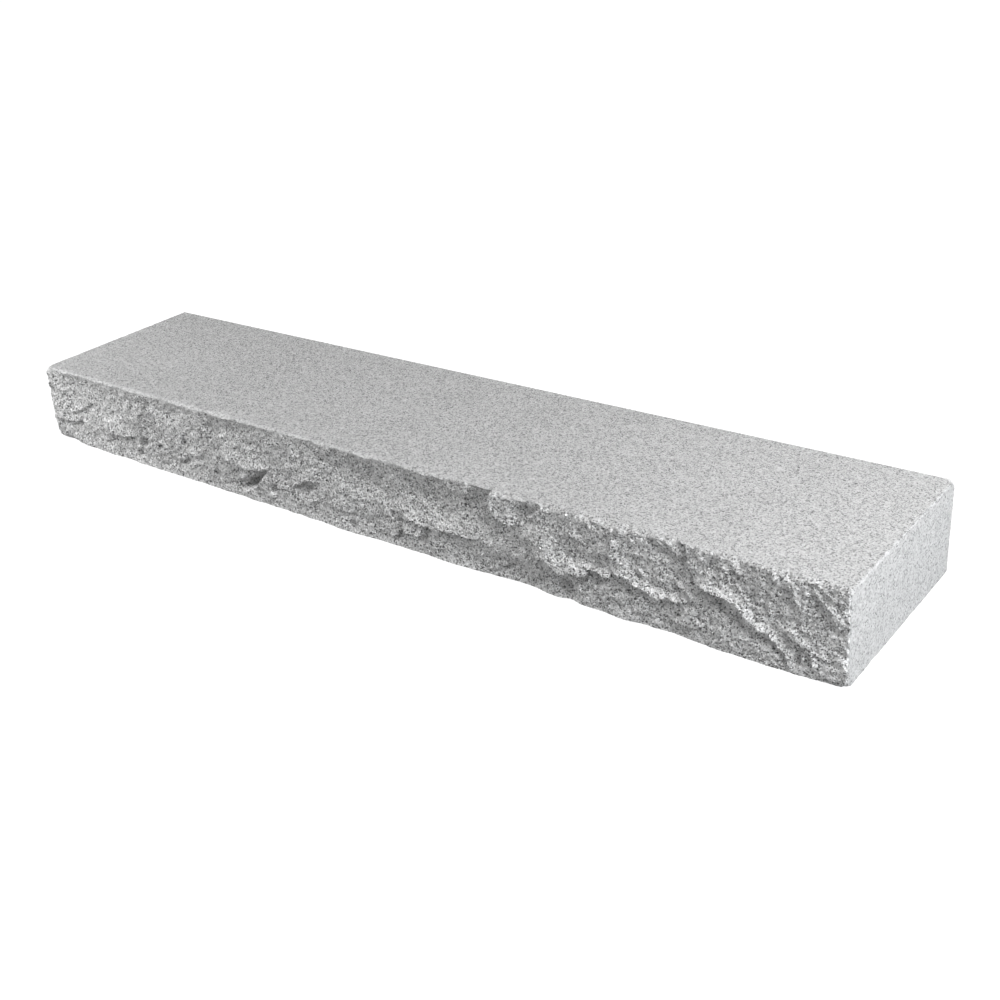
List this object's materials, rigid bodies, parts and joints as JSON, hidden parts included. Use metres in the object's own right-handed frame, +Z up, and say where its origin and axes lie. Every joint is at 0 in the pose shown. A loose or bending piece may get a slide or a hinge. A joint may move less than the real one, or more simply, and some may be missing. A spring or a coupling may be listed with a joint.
{
  "type": "granite step",
  "caption": "Solid stone block step for outdoor stairs: flat even tread to walk on, sawn back, ends and underside, and a rough split rock-faced riser.",
  "frame": {"origin": "middle of the step's box on the underside, where it meets its bed", "axes": "+X along the length of the step, -Y out of the rock-faced riser, +Z up out of the tread"},
  "size_m": [1.65, 0.358, 0.15],
  "materials": {
    "granite": "fine-grained light grey granite: even textured sawn tread, back, ends and underside; rough split rock-faced riser"
  },
  "bodies": {
    "root": {"granite_step": "granite"}
  },
  "joints": []
}
